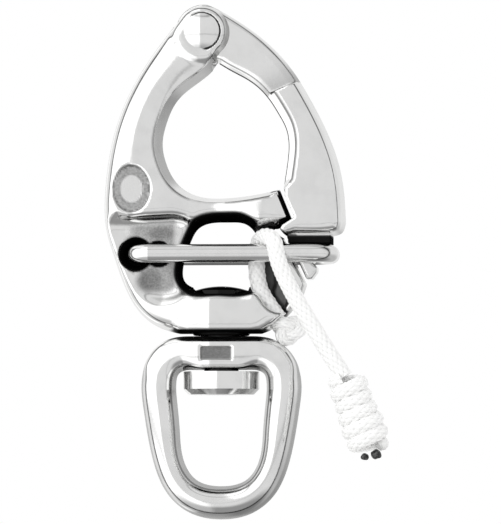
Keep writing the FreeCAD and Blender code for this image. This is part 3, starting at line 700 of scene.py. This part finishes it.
def tube(name, path, radius, closed=False, sides=72, step=0.14, squeeze=None, lump=0.2, around=8, stitch=1.7):
    """A plaited cord along a path in mm. squeeze(share along) scales its radius."""
    line, along = evenly(path, step, closed)
    if closed:
        ahead = np.roll(line, -1, axis=0) - np.roll(line, 1, axis=0)
    else:
        ahead = np.gradient(line, axis=0)
    ahead /= np.linalg.norm(ahead, axis=1, keepdims=True)
    side = np.cross(ahead[0], [0.3, 1.0, 0.2])
    sides_of = []
    for t in ahead:
        side = side - t * side.dot(t)
        side = side / np.linalg.norm(side)
        sides_of.append(side)
    first = np.array(sides_of)
    second = np.cross(ahead, first)
    turn = np.arange(sides) * 2 * np.pi / sides
    share = along / max(along[-1], SMALL)
    size = radius * (np.ones(len(line)) if squeeze is None else squeeze(share))
    height = braid(turn[None, :], along[:, None], around, stitch)
    reach = (size[:, None] - lump) + lump * 1.6 * (height - 0.35)
    rings = line[:, None, :] + reach[..., None] * (
        np.cos(turn)[None, :, None] * first[:, None, :] + np.sin(turn)[None, :, None] * second[:, None, :]
    )
    count = len(line)
    points = rings.reshape(-1, 3)
    rows = np.arange(count if closed else count - 1)
    a = rows[:, None] * sides + np.arange(sides)[None, :]
    b = rows[:, None] * sides + (np.arange(sides)[None, :] + 1) % sides
    c = ((rows[:, None] + 1) % count) * sides + (np.arange(sides)[None, :] + 1) % sides
    d = ((rows[:, None] + 1) % count) * sides + np.arange(sides)[None, :]
    faces = np.stack([a, b, c, d], 2).reshape(-1, 4)
    piece = mesh_object(name, points * MM, faces)
    if not closed:
        close_ends(piece)
    # How deep each point lies between the strands; the braid's material paints shade there.
    crease_shade = 1 - height.ravel()
    paint(piece, "crease_shade", np.concatenate([crease_shade, np.zeros(len(piece.data.vertices) - len(crease_shade))]))
    return piece


def close_ends(piece):
    """Caps on the open ends of a tube."""
    work = bmesh.new()
    work.from_mesh(piece.data)
    bmesh.ops.holes_fill(work, edges=[e for e in work.edges if e.is_boundary])
    bmesh.ops.recalc_face_normals(work, faces=work.faces)
    work.to_mesh(piece.data)
    work.free()


def knot_frame():
    """The foot of the handle knot and its axes: down its length, to its right and towards the front."""
    right = np.array([-HANDLE_AXIS[2], 0.0, HANDLE_AXIS[0]])
    return np.array(LANYARD[-1]), HANDLE_AXIS, right, np.array([0.0, -1.0, 0.0])


def handle_path():
    """The cord turns outwards at the top of the barrel knot and winds down it."""
    foot, down, right, front = knot_frame()
    turns, first, last = 5.7, 0.3, 13.0
    t = np.linspace(0, 1, 800)
    angle = 2 * np.pi * turns * t + 2.2
    wide = (2.0 + 0.65 * t) * ease(t, -0.05, 0.06) - 0.5 * ease(t, 0.9, 1.0) + 0.12 * np.sin(11 * t + 0.5)
    drop = first + (last - first) * t + 0.25 * np.sin(angle + 1.2)
    return foot + drop[:, None] * down + wide[:, None] * (
        np.cos(angle)[:, None] * right + np.sin(angle)[:, None] * front
    )


def stopper_path():
    """A tight overhand knot."""
    t = np.linspace(0, 2 * np.pi, 400, endpoint=False)
    flat = np.stack([np.sin(t) + 2 * np.sin(2 * t), np.cos(t) - 2 * np.cos(2 * t), -1.15 * np.sin(3 * t)], 1)
    axes = np.array([[0.78, 0.0, -0.12], [0.1, -0.25, 0.6], [0.0, 0.55, 0.2]])
    return STOPPER + np.array([0.1, 0.0, 0.1]) + flat @ axes


def sealed_tips():
    """Two lumps of melted cord at the foot of the handle knot."""
    foot, down, right, front = knot_frame()
    out = []
    for number, (side, near, wide, drop) in enumerate(((-1.5, 1.2, 0.7, 14.2), (0.5, 1.3, 0.9, 14.5))):
        centre = foot + down * drop + right * side + front * near

        def lump(x, y, z):
            d = np.sqrt((x - centre[0]) ** 2 + (y - centre[1]) ** 2 + 1.3 * (z - centre[2]) ** 2)
            return d - wide * (1 + 0.08 * np.sin(5 * x + 3 * z) + 0.06 * np.sin(7 * y - 4 * z))

        low, high = centre - 1.6, centre + 1.6
        out.append(surface(f"sealed_tip_{number}", lump, low, high, 0.12))
    return out

# ---------------------------------------------------------------- materials


class Nodes:
    """Short calls for a node tree."""

    def __init__(self, tree, empty=True):
        self.tree = tree
        if empty:
            tree.nodes.clear()

    def add(self, kind, **settings):
        node = self.tree.nodes.new(kind)
        for key, value in settings.items():
            setattr(node, key, value)
        return node

    def put(self, socket, value):
        if isinstance(value, bpy.types.NodeSocket):
            self.tree.links.new(value, socket)
        else:
            socket.default_value = value

    def math(self, kind, *values):
        node = self.add("ShaderNodeMath", operation=kind)
        for socket, value in zip(node.inputs, values):
            self.put(socket, value)
        return node.outputs[0]

    def mix(self, share, a, b):
        node = self.add("ShaderNodeMix", data_type="RGBA")
        self.put(node.inputs[0], share)
        self.put(node.inputs[6], a)
        self.put(node.inputs[7], b)
        return node.outputs[2]

    def ramp(self, value, low, high, to_low=0.0, to_high=1.0, smooth=True):
        node = self.add("ShaderNodeMapRange", interpolation_type="SMOOTHSTEP" if smooth else "LINEAR")
        for socket, v in zip(node.inputs, (value, low, high, to_low, to_high)):
            self.put(socket, v)
        return node.outputs[0]

    def noise(self, scale, detail=3.0, rough=0.6):
        place = self.add("ShaderNodeTexCoord")
        node = self.add("ShaderNodeTexNoise")
        self.put(node.inputs["Vector"], place.outputs["Object"])
        self.put(node.inputs["Scale"], scale)
        self.put(node.inputs["Detail"], detail)
        self.put(node.inputs["Roughness"], rough)
        return node.outputs[0]

    def read(self, name):
        return self.add("ShaderNodeAttribute", attribute_name=name).outputs["Fac"]

    def bump(self, height, strength, distance):
        node = self.add("ShaderNodeBump")
        self.put(node.inputs["Height"], height)
        self.put(node.inputs["Strength"], strength)
        self.put(node.inputs["Distance"], distance)
        return node.outputs[0]

    def finish(self, **inputs):
        shader = self.add("ShaderNodeBsdfPrincipled")
        for name, value in inputs.items():
            self.put(shader.inputs[name.replace("_", " ")], value)
        out = self.add("ShaderNodeOutputMaterial")
        self.tree.links.new(shader.outputs[0], out.inputs[0])


def new_material(name):
    made = bpy.data.materials.new(name)
    made.use_nodes = True
    return made, Nodes(made.node_tree)


def grey(value):
    return (value, value, value * 0.995, 1.0)


def polished_steel(name, forged, shade=1.0):
    """Mirror-polished stainless steel. A forging is also matt where its vertices say so, and near-black where
    they carry painted shade.
    """
    made, n = new_material(name)
    fine, broad = n.noise(2600.0, 4.0), n.noise(260.0, 3.0)
    rough = n.ramp(broad, 0.3, 0.7, 0.07, 0.14)
    colour = n.mix(n.ramp(broad, 0.35, 0.75), grey(0.84 * shade), grey(0.78 * shade))
    ripple = n.math("ADD", n.math("MULTIPLY", fine, 0.25), broad)
    tint = grey(shade)
    if forged:
        matt, dark = n.read("matt"), n.read("dark")
        grain = n.noise(3400.0, 4.0, 0.7)
        speckle = n.mix(n.ramp(grain, 0.3, 0.7), grey(0.3), grey(0.5))
        colour = n.mix(matt, colour, speckle)
        # The dark attribute is painted shade: it turns the colour and the edge tint near-black.
        colour = n.mix(dark, colour, grey(0.012))
        rough = n.math("ADD", rough, n.math("MULTIPLY", matt, 0.26))
        rough = n.math("ADD", rough, n.math("MULTIPLY", dark, 0.5))
        tint = n.mix(dark, tint, grey(0.03))
        ripple = n.math("ADD", ripple, n.math("MULTIPLY", n.math("MULTIPLY", grain, matt), 3.0))
    n.finish(
        Base_Color=colour,
        Metallic=1.0,
        Roughness=rough,
        Specular_Tint=tint,
        Normal=n.bump(ripple, 0.5, 0.00003),
    )
    return made


def shade_far_leg(made):
    """Darkens the underside of the rod's rear leg, which faces the dark window."""
    n = Nodes(made.node_tree, empty=False)
    place = n.add("ShaderNodeTexCoord")
    at, way = n.add("ShaderNodeSeparateXYZ"), n.add("ShaderNodeSeparateXYZ")
    n.put(at.inputs[0], place.outputs["Object"])
    n.put(way.inputs[0], place.outputs["Normal"])
    rear = n.ramp(at.outputs[1], 0.004, 0.006)
    under = n.math("MULTIPLY", n.ramp(way.outputs[2], 0.55, 0.25), n.ramp(way.outputs[1], 0.75, 0.5))
    share = n.math("MULTIPLY", rear, under)
    shader = next(node for node in n.tree.nodes if node.bl_idname == "ShaderNodeBsdfPrincipled")
    for name in ("Base Color", "Specular Tint"):
        socket = shader.inputs[name]
        old = socket.links[0].from_socket if socket.links else tuple(socket.default_value)
        n.put(socket, n.mix(share, old, grey(0.02)))


def white_braid():
    made, n = new_material("white_braid")
    crease_shade = n.read("crease_shade")
    fibre = n.noise(4200.0, 4.0, 0.7)
    soft = n.noise(500.0, 3.0)
    # Painted shade in the creases between the strands.
    colour = n.mix(n.ramp(crease_shade, 0.4, 1.0), grey(0.96), grey(0.5))
    colour = n.mix(n.ramp(soft, 0.3, 0.75, 0.0, 0.3), colour, grey(0.86))
    n.finish(
        Base_Color=colour,
        Roughness=0.8,
        Sheen_Weight=0.25,
        Normal=n.bump(fibre, 0.6, 0.00004),
    )
    return made


def sealed_cord():
    made, n = new_material("sealed_cord")
    char = n.noise(1800.0, 4.0, 0.7)
    colour = n.mix(n.ramp(char, 0.45, 0.72), grey(0.012), grey(0.12))
    n.finish(Base_Color=colour, Roughness=n.ramp(char, 0.3, 0.7, 0.25, 0.6), Normal=n.bump(char, 0.8, 0.0001))
    return made


def dress(piece, material):
    piece.data.materials.clear()
    piece.data.materials.append(material)


# ---------------------------------------------------------------- pieces on the frame

forged_steel = polished_steel("forged_steel", True)
turned_steel = polished_steel("turned_steel", False)
shaded_steel = polished_steel("shaded_steel", False, 0.02)
rod_steel = polished_steel("rod_steel", False)
shade_far_leg(rod_steel)
braided = white_braid()
sealed = sealed_cord()

body = surface("forged_body", body_field, (-21.3, -6.8, -46.9), (15.9, 6.8, 12.3), 0.28)
body_paint(body)
gate = surface("forged_gate", gate_field, (-8.5, -6.8, -37.4), (22.6, 6.8, 12.0), 0.25)
gate_paint(gate)
bail = surface("forged_bail", bail_field, (-14.7, -5.1, -79.2), (14.7, 5.1, -46.0), 0.25)
bail_paint(bail)
for piece, node in ((body, "body"), (gate, "gate"), (bail, "bail")):
    dress(piece, forged_steel)
    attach(piece, node)
    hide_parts(node)

steels = {
    "gate_rivet": turned_steel,
    "trigger": rod_steel,
    "swivel_pin": shaded_steel,
    "swivel_collar": turned_steel,
}
for node, steel in steels.items():
    dress(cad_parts[node], steel)

route = route_points(LANYARD)
lanyard = tube("lanyard_braid", route, CORD)
handle = tube("handle_turns", handle_path(), HANDLE_CORD, squeeze=lambda s: 1 - 0.2 * ease(s, 0.97, 1.0))
stopper = tube("stopper_turns", stopper_path(), STOPPER_CORD, closed=True)
tips = sealed_tips()

dress(lanyard, braided)
dress(handle, braided)
dress(stopper, braided)
for piece in tips:
    dress(piece, sealed)
    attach(piece, "trigger")
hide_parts("sealed_ends")
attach(handle, "trigger")
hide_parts("handle_knot")
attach(stopper, "body")
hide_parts("stopper_knot")
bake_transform(lanyard)
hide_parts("lanyard")


# ---------------------------------------------------------------- floor, light and camera


def studio():
    """A white tent. Reflections also find its darker right side, narrow dark bands and a darker ground."""
    world = bpy.data.worlds.new("studio")
    bpy.context.scene.world = world
    world.use_nodes = True
    n = Nodes(world.node_tree)
    place = n.add("ShaderNodeTexCoord")
    split = n.add("ShaderNodeSeparateXYZ")
    n.put(split.inputs[0], place.outputs["Generated"])
    x, y, z = split.outputs
    right = n.ramp(x, -0.19, -0.13)
    front = n.ramp(right, 0.0, 1.0, 1.45, 0.82, smooth=False)
    lit = n.ramp(z, -0.35, 0.05, 0.55, 0.85)
    strip = n.ramp(x, -0.37, -0.34, n.ramp(x, -0.55, -0.48, 0.88, 1.35), 0.88)
    back = n.ramp(x, -0.1, 0.15, strip, lit)
    behind = n.ramp(y, 0.02, 0.12)
    ahead = n.math("MULTIPLY", front, n.math("SUBTRACT", 1.0, behind))
    level = n.math("ADD", ahead, n.math("MULTIPLY", back, behind))
    over = n.ramp(z, 0.25, 0.7)
    width = n.math("ADD", 0.09, n.math("MULTIPLY", over, 0.12))
    middle = n.math("ADD", n.math("ADD", 0.13, n.math("MULTIPLY", x, -0.1)), n.math("MULTIPLY", over, 0.05))
    off = n.math("DIVIDE", n.math("SUBTRACT", y, middle), width)
    gap = n.math("EXPONENT", n.math("MULTIPLY", n.math("MULTIPLY", off, off), -1.0))
    level = n.math("MULTIPLY", level, n.math("SUBTRACT", 1.0, n.math("MULTIPLY", gap, 0.97)))
    for height, wide, deep in ((0.78, 0.035, 0.5), (-0.13, 0.02, 0.45)):
        off = n.math("DIVIDE", n.math("SUBTRACT", z, height), wide)
        line = n.math("EXPONENT", n.math("MULTIPLY", n.math("MULTIPLY", off, off), -1.0))
        line = n.math("MULTIPLY", line, n.math("SUBTRACT", deep, n.math("MULTIPLY", behind, deep)))
        level = n.math("MULTIPLY", level, n.math("SUBTRACT", 1.0, line))
    below = n.ramp(z, -0.5, -0.85)
    level = n.math("MULTIPLY", level, n.math("SUBTRACT", 1.0, n.math("MULTIPLY", below, 0.6)))
    path = n.add("ShaderNodeLightPath")
    direct = path.outputs["Is Camera Ray"]
    level = n.math("ADD", level, n.math("MULTIPLY", path.outputs["Is Diffuse Ray"], 0.3))
    colour = n.mix(direct, level, (1.0, 1.0, 1.0, 1.0))
    shade = n.add("ShaderNodeBackground")
    n.put(shade.inputs[0], colour)
    out = n.add("ShaderNodeOutputWorld")
    n.tree.links.new(shade.outputs[0], out.inputs[0])


def pale_floor():
    size, drop = 6.0, -0.2
    corners = np.array([[-size, -size, drop], [size, -size, drop], [size, size, drop], [-size, size, drop]])
    floor = mesh_object("floor", corners, np.array([[0, 1, 2, 3]]))
    made, n = new_material("floor")
    n.finish(Base_Color=grey(0.9), Roughness=0.9)
    dress(floor, made)
    floor.visible_glossy = False


def camera():
    """At the right of the front and a little below, with a long lens."""
    aim, away, high = Vector((0.0051, 0.0, -0.0336)), 0.9, 0.0917
    turn, lift = math.radians(4.6), math.radians(-2.5)
    data = bpy.data.cameras.new("camera")
    data.sensor_fit = "VERTICAL"
    data.sensor_height = 36.0
    data.lens = data.sensor_height * away / high
    data.clip_start, data.clip_end = 0.05, 50.0
    made = bpy.data.objects.new("camera", data)
    bpy.context.scene.collection.objects.link(made)
    way = Vector((math.sin(turn) * math.cos(lift), -math.cos(turn) * math.cos(lift), math.sin(lift)))
    made.location = aim + way * away
    made.rotation_euler = (-way).to_track_quat("-Z", "Y").to_euler()
    bpy.context.scene.camera = made


studio()
pale_floor()
camera()
bpy.context.scene.view_settings.view_transform = "Standard"
